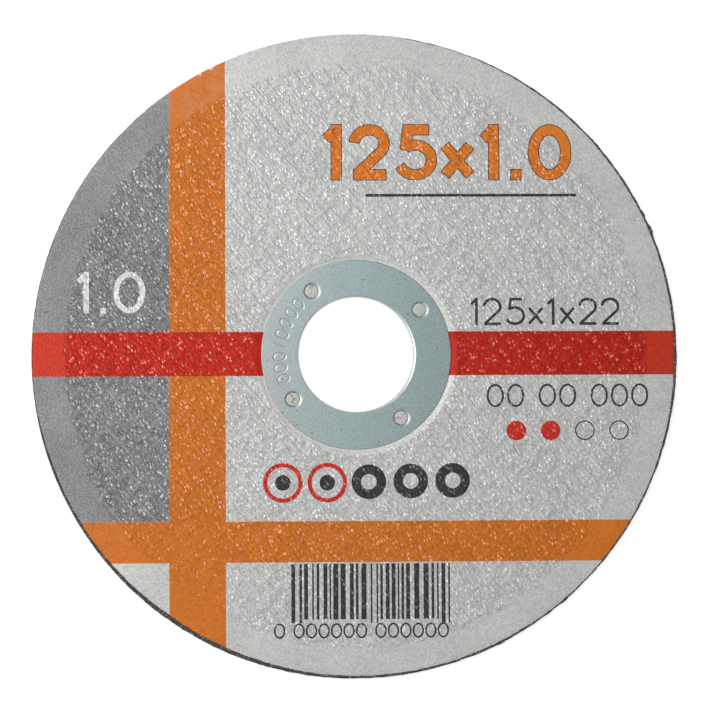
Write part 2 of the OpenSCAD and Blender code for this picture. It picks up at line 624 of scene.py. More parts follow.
def rimRadius(turn, height):
    around = turn * disc["radius"]
    ragged = 0.6 * softNoise(around, height * 6, 0.45, 41) + 0.5 * softNoise(around, height * 2, 1.7, 42)
    reach = np.minimum(rimMiddle(turn) + disc["ragged"] * ragged, wheel["radius"] - disc["rimClear"])
    for angle, tall, halfWidth in disc["burrs"]:
        away = turnAway(turn, angle) * disc["radius"]
        reach = reach + tall * np.exp(-(away / halfWidth) ** 4)
    return reach


# printed paper label
label = {
    "edgePitch": 0.3,
    "edgeSteps": (0, 0.12, 0.3, 0.6),
    "smoothPitch": 0.6,
    "roughPitch": 0.345,
    "lipPitch": 0.35,
    "seatPitch": 0.5,
    "seatEdge": 17.6,
    "innerRadius": 16.8,
    "underRadii": (30, 40, 50),
    "underEdge": 58,
    "underSegments": 200,
    "face": 0.945,
    "highest": 0.985,
    "warpRidge": 0.018,
    "weftRidge": 0.006,
    "ridgeWidth": 0.42,
    "grain": 0.018,
    "edgeDrop": 0.03,
    "silver": paint(175, 175, 173),
    "slate": paint(117, 117, 118),
    "orange": paint(192, 104, 28),
    # painted sheen, in patches of the smooth band, more towards the top
    "paleOrange": paint(194, 117, 62),
    "red": paint(174, 32, 12),
    "paleRed": paint(172, 44, 22),
    "deepRed": paint(163, 24, 5),  # painted shade: the red band darker towards its right end, away from the key light
    "standing": (-36.0, -25.2),  # orange band that runs up the label, in x
    "lower": (-39.95, -32.1),  # orange band across the foot, in y
    "middle": (-4.09, 4.42),  # red band across the centre, in y
    # painted highlight on the lip that slopes down to the ring
    "lip": paint(195, 195, 193),
    "lipShare": 0.45,
    "seat": paint(172, 171, 168),
    "seatShade": paint(128, 126, 122),
    "worn": paint(226, 222, 214),  # where the ink is thin on the tops of the grain, with a painted glint there
    "wornOrange": paint(238, 194, 118),
    "wornRed": paint(244, 190, 150),
    # how much worn ink and painted glint each field shows on the grain tops
    "wear": 0.12,
    "orangeWear": 0.4,
    "redWear": 0.52,
    "deepWear": 0.26,
    "pigmentGloss": 0.75,
    "redGloss": 0.52,
    # strength of the painted light and shade from the relief, for each field
    "depth": 0.68,
    "slateDepth": 1.95,
    "pigmentDepth": 1.12,
    "redDepth": 0.8,
    "sheen": 0.28,
    "redSheen": 0.2,
    "roughness": 0.52,
    "specular": 0.2,
    "coatRoughness": 0.3,
    "coatIor": 1.75,
    "chips": [(116.5, 0.75), (118.8, 0.36)],  # direction and radius
    "chipDepth": 0.52,
    "chipped": paint(198, 180, 154),
    "specks": [((54.4, 25.9), 0.17), ((43.2, 20.5), 0.14)],  # dark grit in the paper, place and radius
    "speckShade": paint(70, 68, 68),
    "edgeClear": 0.04,
    # bare strip outside the label, direction and width
    "margins": [(0, 0.54), (20, 0.44), (40, 0.43), (50, 0.35), (60, 0.29), (75, 0.14), (90, 0.0),
                (106, 0.0), (126, 0.02), (138, 0.12), (165, 0.16), (188, 0.2), (200, 0.55), (220, 0.61),
                (235, 0.88), (250, 0.76), (265, 0.53), (285, 0.47), (300, 0.43), (312, 0.29), (330, 0.34),
                (345, 0.44)],
}


# number of the nearest strand, and the distance from it
def nearestStrand(across, pitch):
    number = np.round(across / pitch)
    return number, np.abs(across - number * pitch)


def labelHeight(x, y):
    radius = np.hypot(x, y)
    wobble = 0.7 * softNoise(x, y, 4.0, 11)
    rough = 1 - ramp(radius + wobble, wheel["meshRadius"] - 1.0, wheel["meshRadius"] + 0.4)
    rough *= ramp(radius, wheel["lipRadius"] - 0.2, wheel["lipRadius"] + 0.9)
    weftAcross = strandAcross(x, y, weave["weftAngle"])
    warpNumber, warpAway = nearestStrand(strandAcross(x, y, weave["warpAngle"]), weave["warpPitch"])
    weftAway = nearestStrand(weftAcross, weave["weftPitch"])[1]
    over = np.cos(math.pi * weftAcross / weave["weftPitch"]) * np.where(warpNumber % 2 == 0, 1, -1)
    warpRidge = np.exp(-(warpAway / label["ridgeWidth"]) ** 2) * (0.65 + 0.35 * over)
    weftRidge = np.exp(-(weftAway / label["ridgeWidth"]) ** 2) * (0.6 - 0.4 * over)
    ridges = label["warpRidge"] * warpRidge + label["weftRidge"] * weftRidge
    grain = grainBumps(x, y, 1.25, 0.45, 21)
    height = label["face"] + 0.004 * softNoise(x, y, 7.0, 12)
    height += rough * (ridges + label["grain"] * grain)
    slope = ramp(radius, wheel["seatRadius"], wheel["lipRadius"])
    height = wheel["seatTop"] + (height - wheel["seatTop"]) * slope
    fromEdge = labelEdge(np.arctan2(y, x)) - radius
    height -= label["edgeDrop"] * (1 - ramp(fromEdge, 0.0, 0.5)) ** 2
    return np.minimum(height, label["highest"])


# the cut edge of the label, which leaves uneven strips of the rim bare
def labelEdge(turn):
    directions, widths = zip(*label["margins"])
    margin = np.interp(np.degrees(turn) % 360, directions, widths, period=360)
    around, level = turn * 60, turn * 0
    margin = margin + 0.03 * softNoise(around, level, 1.0, 13) + 0.06 * softNoise(around, level, 0.5, 14)
    return np.minimum(rimMiddle(turn) - margin, wheel["radius"] - label["edgeClear"])


def labelLoop(radius, pitch):
    count = segmentCount(radius, pitch)
    share = ramp(radius, wheel["meshRadius"] + 1, wheel["labelRadius"])
    moved = (labelEdge(turnsRound(count)) - wheel["labelRadius"]) * share
    loop = loopPoints(count, radius + moved, 0.0)
    loop[:, 2] = labelHeight(loop[:, 0], loop[:, 1])
    return loop


def makeLabelMesh():
    outer, lip, seat = wheel["labelRadius"], wheel["lipRadius"], wheel["seatRadius"]
    meshEdge = wheel["meshRadius"] + 1.0
    rough, smooth = label["roughPitch"], label["smoothPitch"]
    radii = [(outer - step, label["edgePitch"]) for step in label["edgeSteps"]]
    radii.append((outer - 1.0, smooth))
    radii += [(r, smooth) for r in np.linspace(outer - 1.5, meshEdge + 0.5, 10)]
    rows = round((meshEdge - lip + 0.2) / rough)
    radii += [(r, rough) for r in np.linspace(meshEdge, lip - 0.2, rows)]
    radii += [(r, label["lipPitch"]) for r in np.linspace(lip - 0.45, seat, 6)]
    radii += [(r, label["seatPitch"]) for r in (label["seatEdge"], label["innerRadius"])]
    loops = [labelLoop(r, pitch) for r, pitch in radii]
    count, under, low = label["underSegments"], wheel["labelUnder"], wheel["seatLow"]
    loops.append(loopPoints(len(loops[-1]), label["innerRadius"], low))
    loops.append(loopPoints(count, seat, low))
    loops += [loopPoints(count, r, under) for r in (lip, *label["underRadii"])]
    loops.append(loopPoints(2 * count, label["underEdge"], under))
    bottomEdge = loops[0].copy()
    bottomEdge[:, 2] = under
    loops.append(bottomEdge)
    return loopSolid(loops)


# round patches of paper left on the floor of each punched hole
claws = {
    "count": 4,
    "circle": 15.0,
    "first": 35.0,
    "patch": 1.28,
    "segments": 36,
    "roughness": 0.012,
}


def clawCentres():
    turns = [math.radians(claws["first"] + k * 360 / claws["count"]) for k in range(claws["count"])]
    return [(claws["circle"] * math.cos(t), claws["circle"] * math.sin(t)) for t in turns]


def paperPatch(centre, startIndex):
    count, top, edge = claws["segments"], wheel["seatTop"], claws["patch"]
    rows = [(edge, wheel["seatLow"]), (edge, top - 0.03), (1.15, top), (0.8, top), (0.4, top + 0.02),
            (0.05, top + 0.03)]
    loops = [loopPoints(count, r, z, centre) for r, z in rows]
    for loop in loops[1:]:
        loop[:, 2] += claws["roughness"] * softNoise(loop[:, 0], loop[:, 1], 0.5, 14)
    faces = [capFace(startIndex, count, True)]
    faces += stackLoops(startIndex, count, len(loops))
    faces.append(capFace(startIndex + (len(loops) - 1) * count, count))
    return np.vstack(loops), faces


# 1 between two limits, with soft ends
def inBand(tree, value, limits, soft=0.05):
    low = smoothStep(tree, value, limits[0] - soft, limits[0] + soft)
    high = smoothStep(tree, value, limits[1] + soft, limits[1] - soft)
    return times(tree, low, high)


# relief, gloss, painted light and shade, and worn ink with painted glint that the paper and the ink on it
# share; sheen is the share of metal in the ink
def printGloss(tree, shader, place, colour, depth, wear, worn, gloss, sheen=None):
    relief = placeGroup(tree, pressedRelief, {"Place": place})
    if sheen is not None:
        tree.links.new(sheen, shader.inputs["Metallic"])
    # painted light and shade from the relief, scaled by depth, laid on the colour
    tone = timesPlus(tree, calc(tree, "SUBTRACT", relief["Tone"], 1.0), depth, 1.0)
    thin = times(tree, relief["Crests"], wear)
    inked = mixColour(tree, thin, scaled(tree, colour, tone), worn)
    tree.links.new(inked, shader.inputs["Base Color"])
    tree.links.new(times(tree, relief["Peaks"], gloss), shader.inputs["Coat Weight"])
    addBump(tree, shader, relief["Height"])
    tree.links.new(shader.inputs["Normal"].links[0].from_socket, shader.inputs["Coat Normal"])
    shader.inputs["Roughness"].default_value = label["roughness"]
    shader.inputs["Specular IOR Level"].default_value = label["specular"]
    shader.inputs["Coat Roughness"].default_value = label["coatRoughness"]
    shader.inputs["Coat IOR"].default_value = label["coatIor"]


# where the print is gone in small chips at the edge
def edgeChips(tree, place):
    bare = 0.0
    for angle, size in label["chips"]:
        turn = math.radians(angle)
        reach = rimMiddle(turn) + size - label["chipDepth"]
        away = distanceTo(tree, place, (reach * math.cos(turn), reach * math.sin(turn), wheel["labelTop"]))
        bare = calc(tree, "MAXIMUM", bare, smoothStep(tree, away, size, size - 0.15))
    return bare


# where single dark grains show through the paper
def darkSpecks(tree, place):
    dark = 0.0
    flat = flatPlace(tree, place)
    for (x, y), size in label["specks"]:
        away = distanceTo(tree, flat, (x, y, 0.0))
        dark = calc(tree, "MAXIMUM", dark, smoothStep(tree, away, size, size * 0.5))
    return dark


def makePaper():
    material, tree, shader = newMaterial("printedPaper")
    place = millimetres(tree)

    # fields of colour, their edges a little ragged
    inputs = {"Vector": place, "Scale": 3.0, "Detail": 2.0}
    noise = addNode(tree, "ShaderNodeTexNoise", inputs).outputs["Color"]
    shift = vectorCalc(tree, "MULTIPLY_ADD", noise, (0.12, 0.12, 0.0), (-0.06, -0.06, 0.0))[0]
    moved = vectorCalc(tree, "ADD", place, shift)[0]
    x, y, _ = addNode(tree, "ShaderNodeSeparateXYZ", {0: moved}).outputs
    far = 2 * wheel["radius"]
    beside, above = (-far, label["standing"][0]), (label["lower"][1], far)
    slateField = times(tree, inBand(tree, x, beside), inBand(tree, y, above))
    orangeField = calc(tree, "MAXIMUM", inBand(tree, x, label["standing"]), inBand(tree, y, label["lower"]))
    redField = inBand(tree, y, label["middle"])
    notRed = oneMinus(tree, redField)
    bareOrange = times(tree, orangeField, notRed)
    pigment = calc(tree, "MAXIMUM", orangeField, redField)
    radius = lengthOf(tree, place)
    smooth = smoothStep(tree, radius, wheel["meshRadius"] - 1.2, wheel["meshRadius"] + 0.6)
    # painted light: 1 on the left, where the key light stands, 0 on the right
    litFromLeft = smoothStep(tree, x, 60.0, -60.0)

    # colours
    # painted sheen: the smooth orange band paler in patches, more towards the top
    orangeSheenPatches = times(tree, smooth, smoothStep(tree, noiseAt(tree, place, 0.3), 0.2, 0.75))
    orangeSheenPatches = times(tree, orangeSheenPatches, smoothStep(tree, y, -60.0, 40.0))
    slate = mottled(tree, place, mottled(tree, place, label["slate"], 0.1, 0.3), 3.0, 0.6)
    orange = mixColour(tree, orangeSheenPatches, label["orange"], label["paleOrange"])
    # painted shade on the red, darker towards the right
    red = mixColour(tree, litFromLeft, label["deepRed"], label["red"])
    red = mixColour(tree, smooth, red, label["paleRed"])
    colour = mixColour(tree, slateField, label["silver"], slate)
    colour = mixColour(tree, orangeField, colour, orange)
    colour = mixColour(tree, redField, colour, red)
    colour = mixColour(tree, edgeChips(tree, moved), colour, label["chipped"])
    colour = mixColour(tree, darkSpecks(tree, moved), colour, label["speckShade"])
    # painted highlight on the lip round the ring
    lipHighlight = smoothStep(tree, radius, wheel["lipRadius"] + 0.5, wheel["lipRadius"] - 0.3)
    colour = mixColour(tree, times(tree, lipHighlight, notRed, label["lipShare"]), colour, label["lip"])
    underRing = smoothStep(tree, radius, wheel["seatRadius"] - 0.1, wheel["seatRadius"] - 0.5)
    pressed = smoothStep(tree, noiseAt(tree, place, 1.1), 0.5, 0.8)
    colour = mixColour(tree, underRing, colour, mixColour(tree, pressed, label["seat"], label["seatShade"]))
    for scale, amount in ((0.12, 0.14), (0.9, 0.16), (2.8, 0.4)):
        colour = mottled(tree, place, colour, scale, amount)

    # worn ink with painted glint, gloss, and strength of the painted light and shade, for each field
    sheen = times(tree, oneMinus(tree, pigment), label["sheen"])
    sheen = timesPlus(tree, redField, label["redSheen"], sheen)
    wear = timesPlus(tree, bareOrange, label["orangeWear"], times(tree, slateField, label["wear"]))
    # painted glint on the red, stronger towards the left where the key light is
    redWear = timesPlus(tree, litFromLeft, label["redWear"] - label["deepWear"], label["deepWear"])
    wear = timesPlus(tree, redField, redWear, times(tree, wear, notRed))
    worn = mixColour(tree, bareOrange, label["worn"], label["wornOrange"])
    worn = mixColour(tree, redField, worn, label["wornRed"])
    gloss = timesPlus(tree, pigment, label["pigmentGloss"] - 1, 1.0)
    gloss = timesPlus(tree, redField, label["redGloss"] - label["pigmentGloss"], gloss)
    depth = timesPlus(tree, slateField, label["slateDepth"] - 1, label["depth"])
    depth = timesPlus(tree, pigment, label["pigmentDepth"] - 1, depth)
    depth = timesPlus(tree, redField, label["redDepth"] - label["pigmentDepth"], depth)
    printGloss(tree, shader, place, colour, depth, wear, worn, gloss, sheen)
    return material


labelPoints, labelFaces = makeLabelMesh()
labelTree = BVHTree.FromPolygons([tuple(p) for p in labelPoints], labelFaces)
for centre in clawCentres():
    patchPoints, patchFaces = paperPatch(centre, len(labelPoints))
    labelPoints = np.vstack([labelPoints, patchPoints])
    labelFaces += patchFaces
labelPiece = addPiece("printed_label", labelPoints, labelFaces, makePaper())
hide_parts("label")

# printed marks, films of ink that follow the relief
marks = {
    "ink": paint(42, 41, 44),
    "redInk": paint(188, 42, 28),
    "orangeInk": paint(204, 112, 30),
    "whiteInk": paint(214, 214, 213),
    "film": 0.007,
    "overFilm": 0.012,
    "rooted": 0.012,
    "step": 0.14,
    "outline": 0.16,
    "sizeLine": {"text": "125x1x22", "start": (22.3, 5.85), "height": 4.78, "stroke": 0.54, "gap": 0.2},
    "titleLine": {"text": "125x1.0", "start": (-5.6, 34.9), "height": 8.8, "stroke": 1.9, "gap": 0.29},
    "fieldLine": {"text": "1.0", "start": (-53.5, 8.6), "height": 7.0, "stroke": 1.05, "gap": 0.26},
    "gradeLine": {"text": "00 00 000", "start": (25.4, -10.1), "height": 4.1, "stroke": 0.4, "gap": 0.24},
    "barLine": {"text": "0 000000 000000", "start": (-15.9, -54.35), "height": 2.58, "stroke": 0.33,
                "gap": 0.21},
    "rule": {"ends": [(2.0, 30.9), (43.0, 30.9)], "width": 0.55},
    "ringRow": {"centres": [(-14.24, -24.7), (-5.7, -24.7)], "radius": 3.8, "band": 0.8, "core": 1.5},
    "discRow": {"centres": [(2.31, -24.57), (10.39, -24.45), (18.48, -24.38)], "radius": 3.33, "core": 1.5},
    "dotRow": {"x": 30.9, "y": -14.85, "pitch": 6.64, "count": 4, "filled": 2, "radius": 1.9, "line": 0.24},
    "bars": {"left": -12.7, "right": 18.6, "top": -40.25, "short": -50.9, "long": -51.6, "seed": 31,
             "widths": [0.32, 0.5, 0.75, 1.0], "gaps": [0.4, 0.55, 0.8]},
}


def arcPoints(centre, radius, start, end, squash=1.0, count=24):
    turns = np.radians(np.linspace(start, end, count))
    x = centre[0] + radius * squash * np.cos(turns)
    return np.column_stack([x, centre[1] + radius * np.sin(turns)])


# each numeral as open or closed strokes in a box of height 1, with its width; half is half a stroke
def numeralStrokes(character, half):
    if character == "0":
        return [(arcPoints((0.36, 0.5), 0.5, 90, 444, 0.72, 60), True)], 0.72
    if character == " ":
        return [], 0.3
    if character == "1":
        flag = np.array([(0.0, 0.8), (0.22, 1.0)])
        stem = np.array([(0.22, 1 + half), (0.22, -half)])
        return [(flag, False), (stem, False)], 0.32
    if character == "2":
        bowl = arcPoints((0.34, 0.70), 0.30, 175, -38, 1.1)
        neck = np.vstack([bowl, [(0.02 + 0.6 * half, 0.3 * half)]])
        foot = np.array([(0.02 - 0.2 * half, 0.0), (0.70, 0.0)])
        return [(neck, False), (foot, False)], 0.72
    if character == "5":
        bowl = arcPoints((0.34, 0.33), 0.33, 122, -155, 1.1)
        head = np.array([(0.64, 1.0), (0.18, 1.0), (0.12, 0.56)])
        return [(head, False), (bowl, False)], 0.72
    if character == ".":
        return [(np.array([(0.1, -half), (0.1, half)]), False)], 0.2
    rising, falling = np.array([(0.0, 0.0), (0.54, 0.64)]), np.array([(0.0, 0.64), (0.54, 0.0)])
    return [(rising, False), (falling, False)], 0.56


# points at even steps along a path, its corners kept
def resample(points, step, closed=False):
    points = np.asarray(points, float)
    if closed:
        points = np.vstack([points, points[:1]])
    lengths = np.hypot(*np.diff(points, axis=0).T)
    travelled = np.concatenate([[0], np.cumsum(lengths)])
    count = max(2, math.ceil(travelled[-1] / step) + 1)
    wanted = np.unique(np.concatenate([np.linspace(0, travelled[-1], count), travelled]))
    wanted = wanted[np.concatenate([[True], np.diff(wanted) > step * 0.2])]
    result = np.column_stack([np.interp(wanted, travelled, points[:, k]) for k in (0, 1)])
    return result[:-1] if closed else result


# an open path drawn out a little at both ends
def lengthen(path, reach):
    first, last = path[0] - path[1], path[-1] - path[-2]
    start = path[0] + first * reach / np.hypot(*first)
    end = path[-1] + last * reach / np.hypot(*last)
    return np.vstack([[start], path[1:-1], [end]])


class InkSheet:
    def __init__(self, film=marks["film"]):
        self.film = film
        self.points = []
        self.faces = []

    # height of the paper
    def surface(self, x, y):
        return labelTree.ray_cast(Vector((x, y, 5)), Vector((0, 0, -1)))[0].z

    def stroke(self, path, width, closed=False):
        path = resample(path, marks["step"], closed)
        ahead = np.roll(path, -1, axis=0) - path
        behind = path - np.roll(path, 1, axis=0)
        if not closed:
            ahead[-1], behind[0] = behind[-1], ahead[0]
        ahead /= np.hypot(*ahead.T)[:, None]
        behind /= np.hypot(*behind.T)[:, None]
        along = ahead + behind
        along /= np.hypot(*along.T)[:, None]
        mitre = 1 / np.clip(np.sum(along * ahead, axis=1), 0.6, 1)
        side = np.column_stack([-along[:, 1], along[:, 0]]) * (mitre * width / 2)[:, None]
        across = max(2, math.ceil(width / marks["step"]))
        start = len(self.points)
        perRow = across + 3
        for middle, offset in zip(path, side):
            row = [middle + offset * t for t in np.linspace(1, -1, across + 1)]
            heights = [self.surface(*p) for p in row]
            self.points += [(*p, z + self.film) for p, z in zip(row, heights)]
            self.points += [(*row[k], heights[k] - marks["rooted"]) for k in (-1, 0)]
        rows = len(path)
        for k in range(rows if closed else rows - 1):
            a, b = start + k * perRow, start + (k + 1) % rows * perRow
            for i in range(perRow):
                j = (i + 1) % perRow
                self.faces.append((a + i, a + j, b + j, b + i))
        if not closed:
            self.faces.append(capFace(start, perRow, True))
            self.faces.append(capFace(start + (rows - 1) * perRow, perRow))

    def ring(self, centre, radius, width):
        self.stroke(arcPoints(centre, radius, 0, 354, count=60), width, closed=True)

    # filled disc: rings of points that close in on the middle
    def dot(self, centre, radius):
        step = marks["step"] * 1.5
        rings = max(3, round(radius / step))
        count = max(16, round(2 * math.pi * radius / step))
        start = len(self.points)
        for k in range(rings):
            for x, y, _ in loopPoints(count, radius * (1 - k / rings), 0.0, centre):
                self.points.append((x, y, self.surface(x, y) + self.film))
        for x, y, _ in loopPoints(count, radius, 0.0, centre):
            self.points.append((x, y, self.surface(x, y) - marks["rooted"]))
        self.faces += stackLoops(start, count, rings)
        inner, under = start + (rings - 1) * count, start + rings * count
        self.faces.append(capFace(inner, count))
        self.faces += zipLoops(under, count, start, count)
        self.faces.append(capFace(under, count, True))


def makeInk(name, colour, worn):
    material, tree, shader = newMaterial(name)
    place = millimetres(tree)
    shade = mottled(tree, place, colour, 2.2, 0.2)
    # the ink gets the same painted light, shade and glint as the paper
    printGloss(tree, shader, place, shade, label["pigmentDepth"], label["wear"], worn, label["pigmentGloss"])
    return material


def writeNumerals(sheet, line, outline=0.0):
    penX, baseY = line["start"]
    for character in line["text"]:
        strokes, width = numeralStrokes(character, line["stroke"] / line["height"] / 2)
        for stroke, closed in strokes:
            path = stroke * line["height"] + (penX, baseY)
            if outline and not closed:
                path = lengthen(path, outline)
            sheet.stroke(path, line["stroke"] + 2 * outline, closed)
        penX += (width + line["gap"]) * line["height"]


# a row of bars of random widths, longer at the ends and in the middle
def drawBars(sheet, bars):
    rng = np.random.default_rng(bars["seed"])
    x = bars["left"]
    places = []
    while x < bars["right"] - bars["gaps"][0]:
        width = rng.choice(bars["widths"])
        places.append((x + width / 2, width))
        x += width + rng.choice(bars["gaps"])
    count = len(places)
    guards = {0, 1, count // 2 - 1, count // 2, count - 2, count - 1}
    for k, (x, width) in enumerate(places):
        foot = bars["long"] if k in guards else bars["short"]
        sheet.stroke([(x, bars["top"]), (x, foot)], width)


def makeMarks():
    dark, red, orange, white = InkSheet(), InkSheet(), InkSheet(marks["overFilm"]), InkSheet()
    for name in ("sizeLine", "gradeLine", "barLine"):
        writeNumerals(dark, marks[name])
    writeNumerals(dark, marks["titleLine"], marks["outline"])
    writeNumerals(orange, marks["titleLine"])
    writeNumerals(white, marks["fieldLine"])
    dark.stroke(marks["rule"]["ends"], marks["rule"]["width"])
    row = marks["ringRow"]
    for centre in row["centres"]:
        red.ring(centre, row["radius"] - row["band"] / 2, row["band"])
        dark.dot(centre, row["core"])
    row = marks["discRow"]
    for centre in row["centres"]:
        dark.ring(centre, (row["radius"] + row["core"]) / 2, row["radius"] - row["core"])
    row = marks["dotRow"]
    for k in range(row["count"]):
        centre = (row["x"] + k * row["pitch"], row["y"])
        if k < row["filled"]:
            red.dot(centre, row["radius"])
        else:
            dark.ring(centre, row["radius"] - row["line"] / 2, row["line"])
    drawBars(dark, marks["bars"])
    sheets = [
        ("dark_print", dark, "ink", "worn"),
        ("red_print", red, "redInk", "worn"),
        ("orange_print", orange, "orangeInk", "wornOrange"),
        ("white_print", white, "whiteInk", "worn"),
    ]
    for name, sheet, colour, worn in sheets:
        ink = makeInk(name, marks[colour], label[worn])
        piece = addPiece(name, sheet.points, sheet.faces, ink, 60)


makeMarks()


def rimLoop(inset, height):
    count = segmentCount(disc["radius"], disc["rimPitch"])
    radius = rimRadius(turnsRound(count), np.full(count, height)) - inset
    return loopPoints(count, radius, height)


# top of the bare rim, which swells a little outside the label
def topLoop(inset):
    loop = rimLoop(inset, disc["topHeight"])
    x, y = loop[:, 0], loop[:, 1]
    bare = np.hypot(x, y) - labelEdge(np.arctan2(y, x))
    grit = disc["topSwell"] + disc["topGrit"] * grainBumps(x, y, 0.4, 0.2, 43)
    loop[:, 2] = wheel["labelUnder"] - disc["topFilm"] + ramp(bare, 0.0, 0.2) * grit
    return loop


# gritty back, lower where the mesh lies
def backLoop(radius):
    loop = loopPoints(segmentCount(radius, disc["backPitch"]), radius, 0.0)
    recess = ramp(radius, wheel["backHole"] - 0.2, wheel["backHole"] + 0.2)
    recess *= 1 - ramp(radius, wheel["meshRadius"] - 0.2, wheel["meshRadius"] + 0.4)
    gritty = grainBumps(loop[:, 0], loop[:, 1], 0.7, 0.35, 44)
    loop[:, 2] = recess * disc["backFloor"] + disc["backGrit"] * (1 - gritty)
    return loop


def makeDisc():
    hole, seat, count = wheel["discHole"], wheel["seatLow"], disc["holeSegments"]
    under = wheel["labelUnder"] - disc["topFilm"]
    rows = round((disc["backEdge"] - hole) / disc["backPitch"])
    section = [rimLoop(disc["footInset"], disc["footHeight"])]
    section += [rimLoop(0.0, z) for z in reversed(disc["wallHeights"])]
    section += [topLoop(inset) for inset in disc["topInsets"]]
    section += [loopPoints(number, radius, under) for number, radius in disc["topRows"]]
    section.append(loopPoints(label["underSegments"], wheel["lipRadius"], under))
    section += [loopPoints(count, radius, seat) for radius in (wheel["seatRadius"], hole)]
    section.append(loopPoints(count, hole, disc["holeFoot"]))
    section += [backLoop(r) for r in reversed(np.linspace(disc["backEdge"], hole + 0.15, rows))]
    return loopSolid(section)


def makeAbrasive():
    material, tree, shader = newMaterial("resinAbrasive")
    place = millimetres(tree)
    away, pick = cellsAt(tree, place, disc["grainScale"], "3D")
    grit = times(tree, smoothStep(tree, pick, 0.5, 0.88), smoothStep(tree, away, 0.55, 0.25))
    colour = mixColour(tree, grit, disc["dark"], disc["grain"])
    tree.links.new(mottled(tree, place, colour, 1.2, 0.3), shader.inputs["Base Color"])
    rough = mapRange(tree, grit, disc["resinRough"], disc["grainRough"])
    tree.links.new(rough, shader.inputs["Roughness"])
    addBump(tree, shader, times(tree, smoothStep(tree, away, 0.7, 0.1), disc["grainDepth"]))
    return material


discPiece = addPiece("abrasive_body", *makeDisc(), makeAbrasive(), 50)
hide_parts("abrasive_disc")

# glass mesh, woven
yarn = {
    "thick": 0.07,
    "sway": 0.028,
    "level": 0.085,
    "step": 0.75,
    "sides": 8,
    "shortest": 1,
    "swell": 0.06,
    "swellRate": 5.3,
    "colour": paint(128, 120, 98),
    "resin": paint(70, 66, 58),
    "roughness": 0.5,
    "fibreDepth": 0.03,
}


# stretches of a strand inside the mesh's ring
def strandRuns(offset):
    outer = math.sqrt(wheel["meshRadius"] ** 2 - offset ** 2)
    if abs(offset) >= wheel["backHole"]:
        return [(-outer, outer)]
    inner = math.sqrt(wheel["backHole"] ** 2 - offset ** 2)
    return [(-outer, -inner), (inner, outer)]


# flat strands that sway over and under those of the other set
def weaveStrands(angle, pitch, width, crossPitch, sign):
    points, faces = [], []
    sides = yarn["sides"]
    ring = [(math.cos(turn), math.sin(turn)) for turn in turnsRound(sides)]
    along = np.array([math.cos(angle), math.sin(angle)])
    across = np.array([-math.sin(angle), math.cos(angle)])
    last = math.floor(wheel["meshRadius"] / pitch)
    for number in range(-last, last + 1):
        offset = number * pitch
        side = sign * (1 if number % 2 == 0 else -1)
        for start, end in strandRuns(offset):
            if end - start < yarn["shortest"]:
                continue
            count = max(3, round((end - start) / yarn["step"]))
            first = len(points)
            for s in np.linspace(start, end, count):
                z = yarn["level"] + yarn["sway"] * side * math.cos(math.pi * s / crossPitch)
                wide = width / 2 * (1 + yarn["swell"] * math.sin(yarn["swellRate"] * s + number))
                for c, v in ring:
                    p = along * s + across * (offset + wide * c)
                    points.append((p[0], p[1], z + yarn["thick"] / 2 * v))
            for k in range(count - 1):
                for i in range(sides):
                    a, b = first + k * sides, first + (k + 1) * sides
                    j = (i + 1) % sides
                    faces.append((a + i, b + i, b + j, a + j))
            faces.append(capFace(first, sides))
            faces.append(capFace(first + (count - 1) * sides, sides, True))
    return points, faces


def makeYarn(name, angle):
    material, tree, shader = newMaterial(name)
    place = millimetres(tree)
    fibre = noiseAt(tree, stretched(tree, place, angle, 0.6, 9.0), 1.0)
    soaked = smoothStep(tree, noiseAt(tree, place, 0.5), 0.42, 0.68)
    colour = mixColour(tree, soaked, yarn["colour"], yarn["resin"])
    tree.links.new(mottled(tree, place, colour, 2.0, 0.25), shader.inputs["Base Color"])
    addBump(tree, shader, times(tree, fibre, yarn["fibreDepth"]))
    shader.inputs["Roughness"].default_value = yarn["roughness"]
    return material


def makeBackMesh():
    warp = weave["warpAngle"], weave["warpPitch"], weave["warpWidth"], weave["weftPitch"]
    weft = weave["weftAngle"], weave["weftPitch"], weave["weftWidth"], weave["warpPitch"]
    warpYarn = makeYarn("warpYarn", weave["warpAngle"])
    weftYarn = makeYarn("weftYarn", weave["weftAngle"])
    warpPoints, warpFaces = weaveStrands(*warp, 1)
    weftPoints, weftFaces = weaveStrands(*weft, -1)
    shift = len(warpPoints)
    faces = warpFaces + [tuple(i + shift for i in face) for face in weftFaces]
    piece = addPiece("woven_back_mesh", warpPoints + weftPoints, faces, warpYarn, 60)
    piece.data.materials.append(weftYarn)
    kinds = np.zeros(len(faces), int)
    kinds[len(warpFaces):] = 1
    piece.data.polygons.foreach_set("material_index", kinds)
    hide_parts("back_mesh")
    frame["nodes"]["front_mesh"].material_slots[0].material = warpYarn


makeBackMesh()

# pressed steel ring
ring = {
    "steel": paint(123, 136, 136),
    "paleSteel": paint(125, 131, 131),  # painted highlight tint, more neutral on the left towards the key light
    "plating": (1.06, 0.91),  # painted light: brighter on the left, towards the key light, darker on the right
    # painted highlight on the rolled edges of the claw holes and the bore
    "burnished": paint(196, 200, 198),
    "burnishedShare": 0.75,
    "speckShade": paint(70, 78, 80),
    "brush": math.radians(42),
    "brushTone": 0.4,
    "grainTone": 0.55,
    "brushDepth": 0.006,
    "roughness": (0.34, 0.5),
    "clawRim": 1.8,
    "clawHole": 1.1,
    "boreRim": 0.32,
    "rimShift": 0.22,  # the punch leaned, so the rolled edges, and the painted highlight on them, are wider on one side
    "rimDepth": 0.065,
    "stamp": {"start": math.radians(-23), "end": math.radians(45.6), "base": 13.55, "tall": 2.5, "count": 8,
              "slash": 3, "halfWidth": 0.76, "depth": 0.036},
}


